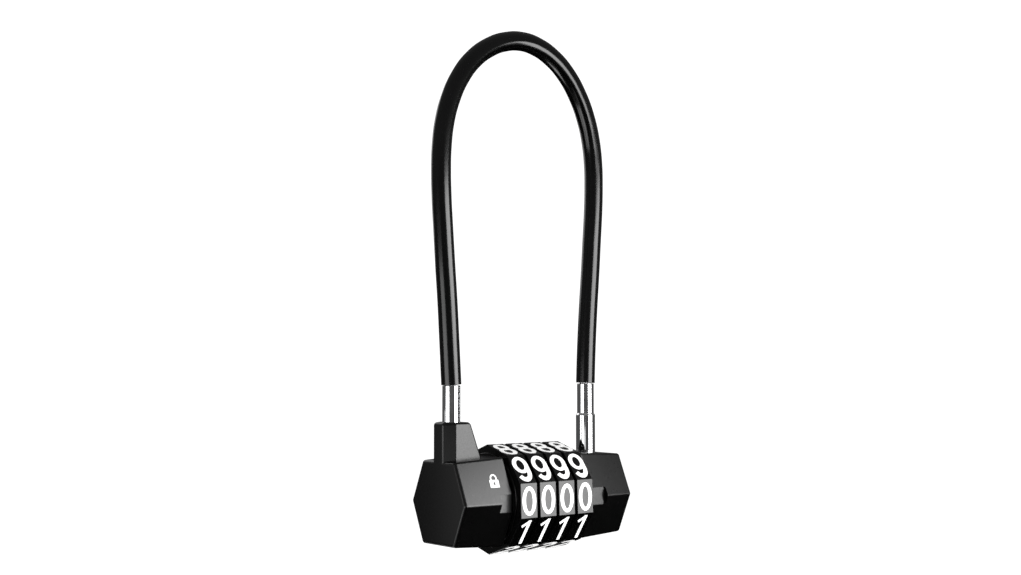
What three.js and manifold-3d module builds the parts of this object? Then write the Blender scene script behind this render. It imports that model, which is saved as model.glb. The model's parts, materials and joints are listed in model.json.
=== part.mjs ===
// A four-dial combination lock with a steel cable loop, for bicycles and gates.
// Millimetres, +Z up. The dial axis runs along X and the digits are read from the front, at -Y.
// Inside lockBody, heights are measured from the dial axis. The finished object's origin is the
// inside of the cable loop's top, which is what the lock hangs from.
//
// How it works: lifting the loop pulls the grooved plug up past the latch nose and cams it to the
// left. The nose is fixed to a spindle with one fin per dial, and each fin can only pass its code
// wheel's flange where the flange has its gate. The long leg stays in the left housing's tower,
// held by a cross pin in its neck.

import * as THREE from 'three';
import { mergeVertices } from 'three/addons/utils/BufferGeometryUtils.js';
import Module from 'manifold-3d';

const wasm = await Module();
wasm.setup();

// ---- Driving dimensions ----

const GAP = 0.3; // between neighbouring pieces that don't move against each other

// Hexagonal housings. The section is given at the outer end and grows towards the dials.
const HEX_HALF_HEIGHT = 14.47;
const HEX_VERTEX_Y = 15.7;
const HEX_FLAT_HALF_Y = 9.35;
const HOUSING_GROWTH = 0.078;
const HOUSING_INNER_X = 17.6;
const HOUSING_OUTER_X = 38.8;
const EDGE_RADIUS = 1.1;
const EDGE_STEPS = 2; // straight pieces in each rounded edge

// Tower on the left housing.
const TOWER_TOP_Z = 27.9;
const TOWER_HALF_Y = 5.5;
const TOWER_LEFT_X = -38.75;
const TOWER_RIGHT_X_AT_TOP = -28.5;
const TOWER_RIGHT_X_AT_FLAT = -23.6;
const TOWER_FLAT_Z = 15; // the housing's top beside the tower
const TOWER_CHAMFER_X = 3.7;
const TOWER_CHAMFER_Y = 2.9;
const TOWER_ROOT_Z = 12;

// Notches that point at the code line.
const NOTCH_HALF_HEIGHT = 3.15;
const NOTCH_FLOOR_Y = 14.5;
const LEFT_NOTCH_LENGTH = 5.9;
const RIGHT_NOTCH_LENGTH = 8.6;

// Dials and code wheels.
const DIGITS = 10;
const DIAL_COUNT = 4;
const DIAL_PITCH = 8.72;
const DIAL_APOTHEM = 18.5;
const FACET_WIDTH = 7.45;
const FACET_BEVEL = 0.25;
const FACET_TURN = (-2 * Math.PI) / 180; // about the dial axis, from the keyways to the facets
const HUB_RADIUS = 16.5;
const HUB_WIDTH = 8.4;
const DIAL_BORE_RADIUS = 7.7;
const WHEEL_OUTER_RADIUS = 7.35;
const WHEEL_TOOTH_HEIGHT = 0.6;
const WHEEL_HALF_WIDTH = 3.9;
const WHEEL_INNER_RADIUS = 5.05;
const WHEEL_DETENT_DEPTH = 0.45;
const FLANGE_INNER_RADIUS = 3.75;
const FLANGE_THICKNESS = 0.8;
const FLANGE_OFFSET = -3.4; // the flange's left face, from the dial's middle
const GATE_HALF_WIDTH = 0.9;

// Core tube and the spindle inside it.
const TUBE_OUTER_RADIUS = 3.4;
const TUBE_INNER_RADIUS = 2.0;
const TUBE_LEFT_X = -28.3;
const TUBE_RIGHT_X = 20.9;
const TUBE_SLOT_HALF_WIDTH = 0.8;
const TUBE_SLOT_LEFT_X = -18.2;
const SPINDLE_RADIUS = 1.65;
const SPINDLE_LEFT_X = -22.8;
const SPINDLE_SHOULDER_X = 23.3;
const SPINDLE_STUB_RADIUS = 1.15;
const SPINDLE_RIGHT_X = 26.2;
const FIN_OFFSET = -2.2; // the fin's left face when locked, from the dial's middle
const FIN_THICKNESS = 0.8;
const FIN_TIP_RADIUS = 4.6;
const FIN_HALF_WIDTH = 0.5;

// Latch at the right end of the spindle.
const LATCH_LEFT_X = 23.6;
const LATCH_RIGHT_X = 25.6;
const LATCH_HALF_Y = 1.7;
const LATCH_BOTTOM_Z = -2.4;
const LATCH_TOP_Z = 8;
const NOSE_TIP_X = 27.1;
const NOSE_BOTTOM_Z = 6;
const NOSE_HALF_Y = 1.2;
const LATCH_PER_LIFT = 0.16; // how far the latch is cammed left for each unit of lift
const LATCH_CAVITY_RIGHT_X = NOSE_TIP_X + 0.5;
const LATCH_CAVITY_HALF_Y = 2.8;
const LATCH_CAVITY_BOTTOM_Z = LATCH_BOTTOM_Z - 0.5;
const LATCH_CAVITY_TOP_Z = LATCH_TOP_Z + 0.4;
const CLIP_OUTER_RADIUS = 2.2;
const CLIP_THICKNESS = 0.4;
const CLIP_OFFSET = 0.1; // from the latch block's right face
const CLIP_HALF_OPENING = 0.5;

// Cable, ferrules and their bores.
const SHEATH_RADIUS = 3.54;
const SHEATH_BORE_RADIUS = 2.8;
const WIRE_RADIUS = 2.2;
const SHEATH_END_Z = 40.9;
const FERRULE_RADIUS = 3.15;
const FERRULE_SOCKET_RADIUS = 2.6;
const LONG_LEG_X = -33.1;
const LEG_SOCKET_FLOOR_Z = 29;
const LEG_NECK_RADIUS = 2.3;
const LEG_NECK_TOP_Z = 11;
const LEG_NECK_BOTTOM_Z = -7.2;
const LEG_FOOT_Z = -9.4;
const LEG_BORE_RADIUS = 3.45;
const LEG_BORE_FLOOR_Z = -12.9;
const PLUG_X = 30;
const PLUG_RADIUS = 3.6;
const PLUG_STEP_Z = 29.2;
const PLUG_GROOVE_RADIUS = 2.6;
const PLUG_GROOVE_TOP_Z = LATCH_TOP_Z + GAP;
const PLUG_GROOVE_BOTTOM_Z = NOSE_BOTTOM_Z - GAP;
const PLUG_TIP_Z = -0.6;
const PLUG_BORE_RADIUS = 3.9;
const PLUG_BORE_FLOOR_Z = -1.2;

// Pins, washers and springs.
const LEG_PIN_RADIUS = 0.9;
const LEG_PIN_X = LONG_LEG_X + LEG_NECK_RADIUS + LEG_PIN_RADIUS + 0.25;
const LEG_PIN_Z = 9.5;
const LEG_PIN_HOLE_FRONT_Y = -7;
const LEG_PIN_BACK_Y = 11.5;
const CORE_PIN_RADIUS = 0.8;
const LEFT_CORE_PIN_X = -24;
const RIGHT_CORE_PIN_X = 19.5;
const CORE_PIN_TOP_Z = -2.3;
const PIN_HEAD_INSET = 0.3;
const WASHER_INNER_RADIUS = 5.3;
const WASHER_OUTER_RADIUS = 8;
const WASHER_THICKNESS = 0.65;
const WASHER_POCKET_DEPTH = 1.1;
const LIFT_SPRING = { wire: 0.35, radius: 2.4, turns: 2.5, steps: 40 };
const RETURN_SPRING = { wire: 0.22, radius: 1.35, turns: 4, steps: 60 };

// Detent spring: a strip in a slot along the back of the core tube, with a hump for each dial.
const STRIP_SLOT_HALF_LENGTH = 17;
const STRIP_SLOT_FLOOR_Y = 2.7;
const STRIP_SLOT_HALF_WIDTH = 1.1;
const STRIP_HALF_LENGTH = 16.6;
const STRIP_WIDTH = 1.6;
const STRIP_INNER_Y = 3.0;
const STRIP_OUTER_Y = 3.3;
const HUMP_CREST_Y = 4.75;
const HUMP_START = -0.9; // the hump's left foot, from the dial's middle
const HUMP_RISE = 1.5; // along X, from the foot to the crest
const HUMP_FLAT = 0.8;
const HUMP_SKIN = 0.2; // along X, from the outer to the inner foot
const HUMP_SKIN_AT_CREST = 0.35; // along Y

// The cable's centreline from its left end to its right end: x, and the height above the dials.
const CABLE_ROUTE = [
  [-33.1, SHEATH_END_Z], [-33.6, 49.5], [-34.1, 57.9], [-34.9, 70.5], [-35.9, 83.1], [-36.8, 95.5],
  [-37.5, 106.0], [-37.8, 116.4], [-37.5, 124.7], [-36.4, 132.8], [-33.9, 141.2], [-29.6, 149.7],
  [-23.6, 157.0], [-15.8, 162.6], [-8.6, 165.5], [-1.2, 166.6], [5.9, 165.7], [13.6, 162.5],
  [20.3, 157.4], [26.4, 149.7], [30.6, 141.3], [33.1, 132.7], [34.3, 123.9], [34.5, 115.0],
  [34.2, 105.9], [33.4, 94.4], [32.6, 82.8], [31.5, 69.1], [30.5, 53.2], [30.0, SHEATH_END_Z],
];
const LOOP_INSIDE_TOP_Z = 166.6 - SHEATH_RADIUS;
const CABLE_STEPS = 48;

// ---- Materials ----

const materials = {
  blackPaint: { color: 0x16171a, roughness: 0.35, metalness: 0.2 },
  blackPlastic: { color: 0x0c0c0d, roughness: 0.3, metalness: 0.0 },
  vinylSheath: { color: 0x0a0a0b, roughness: 0.25, metalness: 0.0 },
  chrome: { color: 0xd8dadc, roughness: 0.12, metalness: 1.0 },
  wireRope: { color: 0x9a9c9f, roughness: 0.4, metalness: 1.0 },
  brass: { color: 0xb08d4a, roughness: 0.4, metalness: 1.0 },
  steel: { color: 0xa3a6a9, roughness: 0.35, metalness: 1.0 },
  springSteel: { color: 0x7f8285, roughness: 0.3, metalness: 1.0 },
};

// ---- Solids ----

// A closed manifold-3d solid from a three.js geometry.
function solidOf(geometry) {
  const bare = geometry.clone();
  bare.deleteAttribute('normal');
  bare.deleteAttribute('uv');
  const merged = mergeVertices(bare, 1e-4);
  const index = merged.index.array;
  const triangles = [];
  for (let i = 0; i < index.length; i += 3) {
    const [a, b, c] = [index[i], index[i + 1], index[i + 2]];
    if (a !== b && b !== c && c !== a) {
      triangles.push(a, b, c);
    }
  }
  return new wasm.Manifold(new wasm.Mesh({
    numProp: 3,
    vertProperties: new Float32Array(merged.attributes.position.array),
    triVerts: new Uint32Array(triangles),
  }));
}

function geometryOf(solid) {
  const mesh = solid.getMesh();
  const geometry = new THREE.BufferGeometry();
  geometry.setAttribute('position', new THREE.BufferAttribute(mesh.vertProperties, 3));
  geometry.setIndex(new THREE.BufferAttribute(mesh.triVerts, 1));
  geometry.computeVertexNormals();
  return geometry;
}

function piece(name, solid, material) {
  const mesh = new THREE.Mesh(geometryOf(solid), new THREE.MeshStandardMaterial(material));
  mesh.name = name;
  return mesh;
}

function cut(solid, ...tools) {
  return tools.reduce((rest, tool) => rest.subtract(tool), solid);
}

function join(...solids) {
  return solids.reduce((all, solid) => all.add(solid));
}

function box(x, y, z) {
  const geometry = new THREE.BoxGeometry(x[1] - x[0], y[1] - y[0], z[1] - z[0]);
  geometry.translate((x[0] + x[1]) / 2, (y[0] + y[1]) / 2, (z[0] + z[1]) / 2);
  return solidOf(geometry);
}

function cylinderAlongZ(radius, x, y, z, segments = 24) {
  const geometry = new THREE.CylinderGeometry(radius, radius, z[1] - z[0], segments);
  geometry.rotateX(Math.PI / 2);
  geometry.translate(x, y, (z[0] + z[1]) / 2);
  return solidOf(geometry);
}

function cylinderAlongY(radius, x, y, z, segments = 20) {
  const geometry = new THREE.CylinderGeometry(radius, radius, y[1] - y[0], segments);
  geometry.translate(x, (y[0] + y[1]) / 2, z);
  return solidOf(geometry);
}

function cylinderAlongX(radius, x, segments = 32) {
  const geometry = new THREE.CylinderGeometry(radius, radius, x[1] - x[0], segments);
  geometry.rotateZ(Math.PI / 2);
  geometry.translate((x[0] + x[1]) / 2, 0, 0);
  return solidOf(geometry);
}

function ringAlongX(inner, outer, x, segments = 32) {
  return cylinderAlongX(outer, x, segments).subtract(
    cylinderAlongX(inner, [x[0] - 1, x[1] + 1], segments),
  );
}

// A shape drawn in (y, z) and extruded along X, its end edges bevelled.
function prismAlongX(shape, x, bevel = 0, bevelSegments = 1) {
  const geometry = new THREE.ExtrudeGeometry(shape, {
    depth: x[1] - x[0] - 2 * bevel,
    bevelEnabled: bevel > 0,
    bevelThickness: bevel,
    bevelSize: bevel,
    bevelOffset: -bevel,
    bevelSegments,
    curveSegments: 12,
  });
  geometry.translate(0, 0, x[0] + bevel);
  geometry.applyMatrix4(new THREE.Matrix4().makeBasis(
    new THREE.Vector3(0, 1, 0), new THREE.Vector3(0, 0, 1), new THREE.Vector3(1, 0, 0),
  ));
  return solidOf(geometry);
}

function polygon(points) {
  return new THREE.Shape(points.map(([a, b]) => new THREE.Vector2(a, b)));
}

// A closed profile of (radius, height) points turned about a vertical axis at x.
function turned(profile, x, segments = 32) {
  const geometry = new THREE.LatheGeometry(profile.map(([r, z]) => new THREE.Vector2(r, z)), segments);
  geometry.rotateX(Math.PI / 2);
  geometry.translate(x, 0, 0);
  return solidOf(geometry);
}

function swept(shape, path, steps) {
  return solidOf(new THREE.ExtrudeGeometry(shape, { extrudePath: path, steps, curveSegments: 1 }));
}

function roundSection(radius, sides) {
  const points = [];
  for (let i = 0; i < sides; i += 1) {
    const angle = (2 * Math.PI * i) / sides;
    points.push([radius * Math.cos(angle), radius * Math.sin(angle)]);
  }
  return polygon(points);
}

// A ring outline in (y, z) that alternates between two radii, ten times round, with the first
// wide stretch centred on -Y.
function toothedPoints(baseRadius, toothRadius, toothShare) {
  const points = [];
  const step = (2 * Math.PI) / DIGITS;
  for (let digit = 0; digit < DIGITS; digit += 1) {
    const middle = Math.PI + digit * step;
    const half = (step * toothShare) / 2;
    for (const [radius, angle] of [
      [baseRadius, middle - half * 1.25],
      [toothRadius, middle - half],
      [toothRadius, middle + half],
      [baseRadius, middle + half * 1.25],
      [baseRadius, middle + step / 2],
    ]) {
      points.push([radius * Math.cos(angle), radius * Math.sin(angle)]);
    }
  }
  return points;
}

class Helix extends THREE.Curve {
  constructor(centre, radius, start, end, turns, along) {
    super();
    Object.assign(this, { centre, radius, start, end, turns, along });
  }

  getPoint(t, target = new THREE.Vector3()) {
    const angle = 2 * Math.PI * this.turns * t;
    const across = this.radius * Math.cos(angle);
    const side = this.radius * Math.sin(angle);
    const travel = this.start + (this.end - this.start) * t;
    if (this.along === 'x') {
      return target.set(travel, this.centre[0] + across, this.centre[1] + side);
    }
    return target.set(this.centre[0] + across, this.centre[1] + side, travel);
  }
}

// ---- Housings ----

// The outline with each corner replaced by an arc. Corners run anticlockwise.
function roundedPolygon(corners, radius) {
  const points = [];
  corners.forEach((corner, i) => {
    const here = new THREE.Vector2(...corner);
    const before = new THREE.Vector2(...corners.at(i - 1)).sub(here).normalize();
    const after = new THREE.Vector2(...corners[(i + 1) % corners.length]).sub(here).normalize();
    const half = Math.acos(before.dot(after)) / 2;
    const bisector = before.clone().add(after).normalize();
    const centre = here.clone().addScaledVector(bisector, radius / Math.sin(half));
    const middle = Math.atan2(-bisector.y, -bisector.x);
    const reach = Math.PI / 2 - half;
    for (let step = 0; step <= EDGE_STEPS; step += 1) {
      const angle = middle - reach + (2 * reach * step) / EDGE_STEPS;
      points.push([centre.x + radius * Math.cos(angle), centre.y + radius * Math.sin(angle)]);
    }
  });
  return polygon(points);
}

// How much larger the housings' section is at x than at their outer ends.
function growthAt(x) {
  return 1 + (HOUSING_GROWTH * (HOUSING_OUTER_X - Math.abs(x))) / (HOUSING_OUTER_X - HOUSING_INNER_X);
}

function hexagonBlock(x) {
  const corners = [
    [-HEX_VERTEX_Y, 0], [-HEX_FLAT_HALF_Y, -HEX_HALF_HEIGHT], [HEX_FLAT_HALF_Y, -HEX_HALF_HEIGHT],
    [HEX_VERTEX_Y, 0], [HEX_FLAT_HALF_Y, HEX_HALF_HEIGHT], [-HEX_FLAT_HALF_Y, HEX_HALF_HEIGHT],
  ];
  const straight = prismAlongX(roundedPolygon(corners, EDGE_RADIUS), x, EDGE_RADIUS, EDGE_STEPS);
  return straight.warp((place) => {
    const growth = growthAt(place[0]);
    place[1] *= growth;
    place[2] *= growth;
  });
}

function tower() {
  const slope = (TOWER_RIGHT_X_AT_FLAT - TOWER_RIGHT_X_AT_TOP) / (TOWER_TOP_Z - TOWER_FLAT_Z);
  const rightXAtRoot = TOWER_RIGHT_X_AT_TOP + slope * (TOWER_TOP_Z - TOWER_ROOT_Z);
  const side = roundedPolygon([
    [TOWER_LEFT_X, TOWER_ROOT_Z - EDGE_RADIUS],
    [rightXAtRoot, TOWER_ROOT_Z - EDGE_RADIUS],
    [TOWER_RIGHT_X_AT_TOP, TOWER_TOP_Z],
    [TOWER_LEFT_X, TOWER_TOP_Z],
  ], EDGE_RADIUS);
  const slab = new THREE.ExtrudeGeometry(side, { depth: 2 * TOWER_HALF_Y, bevelEnabled: false });
  slab.rotateX(Math.PI / 2);
  slab.translate(0, TOWER_HALF_Y, 0);
  const plan = roundedPolygon([
    [TOWER_LEFT_X, -TOWER_HALF_Y + TOWER_CHAMFER_Y],
    [TOWER_LEFT_X + TOWER_CHAMFER_X, -TOWER_HALF_Y],
    [rightXAtRoot + EDGE_RADIUS, -TOWER_HALF_Y],
    [rightXAtRoot + EDGE_RADIUS, TOWER_HALF_Y],
    [TOWER_LEFT_X + TOWER_CHAMFER_X, TOWER_HALF_Y],
    [TOWER_LEFT_X, TOWER_HALF_Y - TOWER_CHAMFER_Y],
  ], EDGE_RADIUS);
  const column = new THREE.ExtrudeGeometry(plan, { depth: TOWER_TOP_Z, bevelEnabled: false });
  return solidOf(slab).intersect(solidOf(column));
}

function washerPocket(side) {
  const ends = [side * (HOUSING_INNER_X - 1), side * (HOUSING_INNER_X + WASHER_POCKET_DEPTH)];
  return cylinderAlongX(WASHER_OUTER_RADIUS + GAP, ends.sort((a, b) => a - b));
}

function indexNotch(side, length) {
  const ends = [side * (HOUSING_INNER_X - 1), side * (HOUSING_INNER_X + length)];
  return box(
    ends.sort((a, b) => a - b),
    [-HEX_VERTEX_Y * growthAt(HOUSING_INNER_X) - 1, -NOTCH_FLOOR_Y],
    [-NOTCH_HALF_HEIGHT, NOTCH_HALF_HEIGHT],
  );
}

function corePinHole(x) {
  return cylinderAlongZ(CORE_PIN_RADIUS + GAP, x, 0, [-HEX_HALF_HEIGHT * growthAt(x) - 1, 0], 16);
}

function leftHousing() {
  const holeBack = HEX_VERTEX_Y * growthAt(HOUSING_INNER_X);
  return cut(
    join(hexagonBlock([-HOUSING_OUTER_X, -HOUSING_INNER_X]), tower()),
    cylinderAlongZ(LEG_BORE_RADIUS, LONG_LEG_X, 0, [LEG_BORE_FLOOR_Z, TOWER_TOP_Z + 1], 32),
    cylinderAlongX(TUBE_OUTER_RADIUS + GAP, [TUBE_LEFT_X - GAP, 0]),
    washerPocket(-1),
    indexNotch(-1, LEFT_NOTCH_LENGTH),
    corePinHole(LEFT_CORE_PIN_X),
    cylinderAlongY(LEG_PIN_RADIUS + GAP, LEG_PIN_X, [LEG_PIN_HOLE_FRONT_Y, holeBack], LEG_PIN_Z, 16),
  );
}

function rightHousing() {
  const boreTop = HEX_HALF_HEIGHT * growthAt(PLUG_X) + 1;
  return cut(
    hexagonBlock([HOUSING_INNER_X, HOUSING_OUTER_X]),
    cylinderAlongZ(PLUG_BORE_RADIUS, PLUG_X, 0, [PLUG_BORE_FLOOR_Z, boreTop], 32),
    cylinderAlongX(TUBE_OUTER_RADIUS + GAP, [0, TUBE_RIGHT_X + GAP]),
    washerPocket(1),
    indexNotch(1, RIGHT_NOTCH_LENGTH),
    corePinHole(RIGHT_CORE_PIN_X),
    box(
      [HOUSING_INNER_X - 1, LATCH_CAVITY_RIGHT_X],
      [-LATCH_CAVITY_HALF_Y, LATCH_CAVITY_HALF_Y],
      [LATCH_CAVITY_BOTTOM_Z, LATCH_CAVITY_TOP_Z],
    ),
  );
}

// ---- Dials ----

function dialMiddle(number) {
  return (number - (DIAL_COUNT - 1) / 2) * DIAL_PITCH;
}

function decagonShape() {
  const corner = DIAL_APOTHEM / Math.cos(Math.PI / DIGITS);
  const points = [];
  for (let i = 0; i < DIGITS; i += 1) {
    const angle = Math.PI + ((2 * i + 1) * Math.PI) / DIGITS + FACET_TURN;
    points.push([corner * Math.cos(angle), corner * Math.sin(angle)]);
  }
  return polygon(points);
}

function dial(number) {
  const x = dialMiddle(number);
  const rim = prismAlongX(decagonShape(), [x - FACET_WIDTH / 2, x + FACET_WIDTH / 2], FACET_BEVEL);
  const hub = cylinderAlongX(HUB_RADIUS, [x - HUB_WIDTH / 2, x + HUB_WIDTH / 2], 60);
  const keyedBore = prismAlongX(
    polygon(toothedPoints(DIAL_BORE_RADIUS, DIAL_BORE_RADIUS + WHEEL_TOOTH_HEIGHT, 0.4)),
    [x - HUB_WIDTH, x + HUB_WIDTH],
  );
  return cut(join(rim, hub), keyedBore);
}

function codeWheel(number) {
  const x = dialMiddle(number);
  const ends = [x - WHEEL_HALF_WIDTH, x + WHEEL_HALF_WIDTH];
  const sleeve = prismAlongX(
    polygon(toothedPoints(WHEEL_OUTER_RADIUS, WHEEL_OUTER_RADIUS + WHEEL_TOOTH_HEIGHT, 0.3)), ends,
  );
  const bore = prismAlongX(
    polygon(toothedPoints(WHEEL_INNER_RADIUS, WHEEL_INNER_RADIUS + WHEEL_DETENT_DEPTH, 0.3)),
    [ends[0] - 1, ends[1] + 1],
  );
  const flangeLeft = x + FLANGE_OFFSET;
  const flange = ringAlongX(
    FLANGE_INNER_RADIUS, WHEEL_OUTER_RADIUS - 0.5, [flangeLeft, flangeLeft + FLANGE_THICKNESS],
  );
  const gate = box(
    [flangeLeft - GAP, flangeLeft + FLANGE_THICKNESS + GAP],
    [-WHEEL_INNER_RADIUS, 0],
    [-GATE_HALF_WIDTH, GATE_HALF_WIDTH],
  );
  return join(sleeve.subtract(bore), flange.subtract(gate));
}

// ---- Core, spindle and latch ----

function coreTube() {
  const length = [TUBE_LEFT_X, TUBE_RIGHT_X];
  return cut(
    ringAlongX(TUBE_INNER_RADIUS, TUBE_OUTER_RADIUS, length, 24),
    box([TUBE_SLOT_LEFT_X, TUBE_RIGHT_X + 1], [-TUBE_OUTER_RADIUS - 1, 0],
      [-TUBE_SLOT_HALF_WIDTH, TUBE_SLOT_HALF_WIDTH]),
    box([-STRIP_SLOT_HALF_LENGTH, STRIP_SLOT_HALF_LENGTH], [STRIP_SLOT_FLOOR_Y, TUBE_OUTER_RADIUS + 1],
      [-STRIP_SLOT_HALF_WIDTH, STRIP_SLOT_HALF_WIDTH]),
    cylinderAlongZ(CORE_PIN_RADIUS + GAP, LEFT_CORE_PIN_X, 0, [-TUBE_OUTER_RADIUS - 1, 0], 16),
    cylinderAlongZ(CORE_PIN_RADIUS + GAP, RIGHT_CORE_PIN_X, 0, [-TUBE_OUTER_RADIUS - 1, 0], 16),
  );
}

// A strip along the back of the core tube with one hump under each code wheel's notches.
function detentSpring() {
  const upper = [];
  const lower = [];
  for (let number = 0; number < DIAL_COUNT; number += 1) {
    const foot = dialMiddle(number) + HUMP_START;
    const [crestLeft, crestRight] = [foot + HUMP_RISE, foot + HUMP_RISE + HUMP_FLAT];
    const end = crestRight + HUMP_RISE;
    const innerCrestY = HUMP_CREST_Y - HUMP_SKIN_AT_CREST;
    upper.push([foot, STRIP_OUTER_Y], [crestLeft, HUMP_CREST_Y], [crestRight, HUMP_CREST_Y],
      [end, STRIP_OUTER_Y]);
    lower.push([foot + HUMP_SKIN, STRIP_INNER_Y], [crestLeft + HUMP_SKIN, innerCrestY],
      [crestRight - HUMP_SKIN, innerCrestY], [end - HUMP_SKIN, STRIP_INNER_Y]);
  }
  const outline = polygon([
    [-STRIP_HALF_LENGTH, STRIP_INNER_Y], ...lower, [STRIP_HALF_LENGTH, STRIP_INNER_Y],
    [STRIP_HALF_LENGTH, STRIP_OUTER_Y], ...upper.reverse(), [-STRIP_HALF_LENGTH, STRIP_OUTER_Y],
  ]);
  const strip = new THREE.ExtrudeGeometry(outline, { depth: STRIP_WIDTH, bevelEnabled: false });
  strip.translate(0, 0, -STRIP_WIDTH / 2);
  return solidOf(strip);
}

function spindle() {
  const rod = join(
    cylinderAlongX(SPINDLE_RADIUS, [SPINDLE_LEFT_X, SPINDLE_SHOULDER_X], 20),
    cylinderAlongX(SPINDLE_STUB_RADIUS, [SPINDLE_SHOULDER_X - 1, SPINDLE_RIGHT_X], 20),
  );
  const fins = [];
  for (let number = 0; number < DIAL_COUNT; number += 1) {
    const left = dialMiddle(number) + FIN_OFFSET;
    fins.push(box([left, left + FIN_THICKNESS], [-FIN_TIP_RADIUS, -1], [-FIN_HALF_WIDTH, FIN_HALF_WIDTH]));
  }
  return join(rod, ...fins);
}

function latchBlock() {
  return cut(
    join(
      box([LATCH_LEFT_X, LATCH_RIGHT_X], [-LATCH_HALF_Y, LATCH_HALF_Y], [LATCH_BOTTOM_Z, LATCH_TOP_Z]),
      box([LATCH_LEFT_X, NOSE_TIP_X], [-NOSE_HALF_Y, NOSE_HALF_Y], [NOSE_BOTTOM_Z, LATCH_TOP_Z]),
    ),
    cylinderAlongX(SPINDLE_STUB_RADIUS + GAP, [LATCH_LEFT_X - 1, LATCH_RIGHT_X + 1], 20),
  );
}

function latchClip() {
  const left = LATCH_RIGHT_X + CLIP_OFFSET;
  return cut(
    ringAlongX(SPINDLE_STUB_RADIUS + GAP / 2, CLIP_OUTER_RADIUS, [left, left + CLIP_THICKNESS], 20),
    box([left - 1, left + 1], [-CLIP_HALF_OPENING, CLIP_HALF_OPENING], [0, CLIP_OUTER_RADIUS + 1]),
  );
}

// ---- Cable and its ends ----

function routePoints() {
  return CABLE_ROUTE.map(([x, z]) => new THREE.Vector3(x, 0, z));
}

function cableSheath() {
  const section = roundSection(SHEATH_RADIUS, 12);
  section.holes.push(roundSection(SHEATH_BORE_RADIUS, 8));
  return swept(section, new THREE.CatmullRomCurve3(routePoints()), CABLE_STEPS);
}

// The steel wire rope, which runs on past both ends of the sheath into the ferrules' sockets.
function wireRope() {
  const points = [
    new THREE.Vector3(LONG_LEG_X, 0, LEG_SOCKET_FLOOR_Z + 1),
    ...routePoints(),
    new THREE.Vector3(PLUG_X, 0, LEG_SOCKET_FLOOR_Z + 1),
  ];
  return swept(roundSection(WIRE_RADIUS, 8), new THREE.CatmullRomCurve3(points), CABLE_STEPS + 4);
}

function longLeg() {
  return turned([
    [0, LEG_FOOT_Z],
    [FERRULE_RADIUS - 0.4, LEG_FOOT_Z],
    [FERRULE_RADIUS, LEG_FOOT_Z + 0.4],
    [FERRULE_RADIUS, LEG_NECK_BOTTOM_Z],
    [LEG_NECK_RADIUS, LEG_NECK_BOTTOM_Z],
    [LEG_NECK_RADIUS, LEG_NECK_TOP_Z],
    [FERRULE_RADIUS, LEG_NECK_TOP_Z + 0.6],
    [FERRULE_RADIUS, SHEATH_END_Z - GAP],
    [FERRULE_SOCKET_RADIUS, SHEATH_END_Z - GAP],
    [FERRULE_SOCKET_RADIUS, LEG_SOCKET_FLOOR_Z],
    [0, LEG_SOCKET_FLOOR_Z],
  ], LONG_LEG_X);
}

function plug() {
  const taperTopRadius = PLUG_GROOVE_RADIUS;
  const taperBottomZ = PLUG_TIP_Z + 0.6;
  const taperBottomRadius = taperTopRadius + LATCH_PER_LIFT * (PLUG_GROOVE_BOTTOM_Z - taperBottomZ);
  return turned([
    [0, PLUG_TIP_Z],
    [taperBottomRadius - 0.6, PLUG_TIP_Z],
    [taperBottomRadius, taperBottomZ],
    [taperTopRadius, PLUG_GROOVE_BOTTOM_Z],
    [PLUG_GROOVE_RADIUS, PLUG_GROOVE_TOP_Z],
    [PLUG_RADIUS, PLUG_GROOVE_TOP_Z + 0.3],
    [PLUG_RADIUS, PLUG_STEP_Z - 0.25],
    [FERRULE_RADIUS, PLUG_STEP_Z + 0.2],
    [FERRULE_RADIUS, SHEATH_END_Z - GAP],
    [FERRULE_SOCKET_RADIUS, SHEATH_END_Z - GAP],
    [FERRULE_SOCKET_RADIUS, LEG_SOCKET_FLOOR_Z],
    [0, LEG_SOCKET_FLOOR_Z],
  ], PLUG_X);
}

// ---- Pins, washers and springs ----

function corePin(x) {
  const head = -HEX_HALF_HEIGHT * growthAt(x) + PIN_HEAD_INSET;
  return cylinderAlongZ(CORE_PIN_RADIUS, x, 0, [head, CORE_PIN_TOP_Z], 16);
}

function legPin() {
  const ends = [LEG_PIN_HOLE_FRONT_Y + GAP, LEG_PIN_BACK_Y];
  return cylinderAlongY(LEG_PIN_RADIUS, LEG_PIN_X, ends, LEG_PIN_Z, 16);
}

function washer(side) {
  const near = HOUSING_INNER_X + WASHER_POCKET_DEPTH - GAP;
  const ends = [side * near, side * (near - WASHER_THICKNESS)].sort((a, b) => a - b);
  return ringAlongX(WASHER_INNER_RADIUS, WASHER_OUTER_RADIUS, ends);
}

function coil(spring, centre, start, end, along) {
  const path = new Helix(centre, spring.radius, start + spring.wire, end - spring.wire, spring.turns, along);
  return swept(roundSection(spring.wire, 6), path, spring.steps);
}

function liftSpring() {
  return coil(LIFT_SPRING, [LONG_LEG_X, 0], LEG_BORE_FLOOR_Z + GAP, LEG_FOOT_Z - GAP, 'z');
}

function returnSpring() {
  return coil(RETURN_SPRING, [0, 0], TUBE_LEFT_X, SPINDLE_LEFT_X - GAP, 'x');
}

// ---- The lock ----

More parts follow.
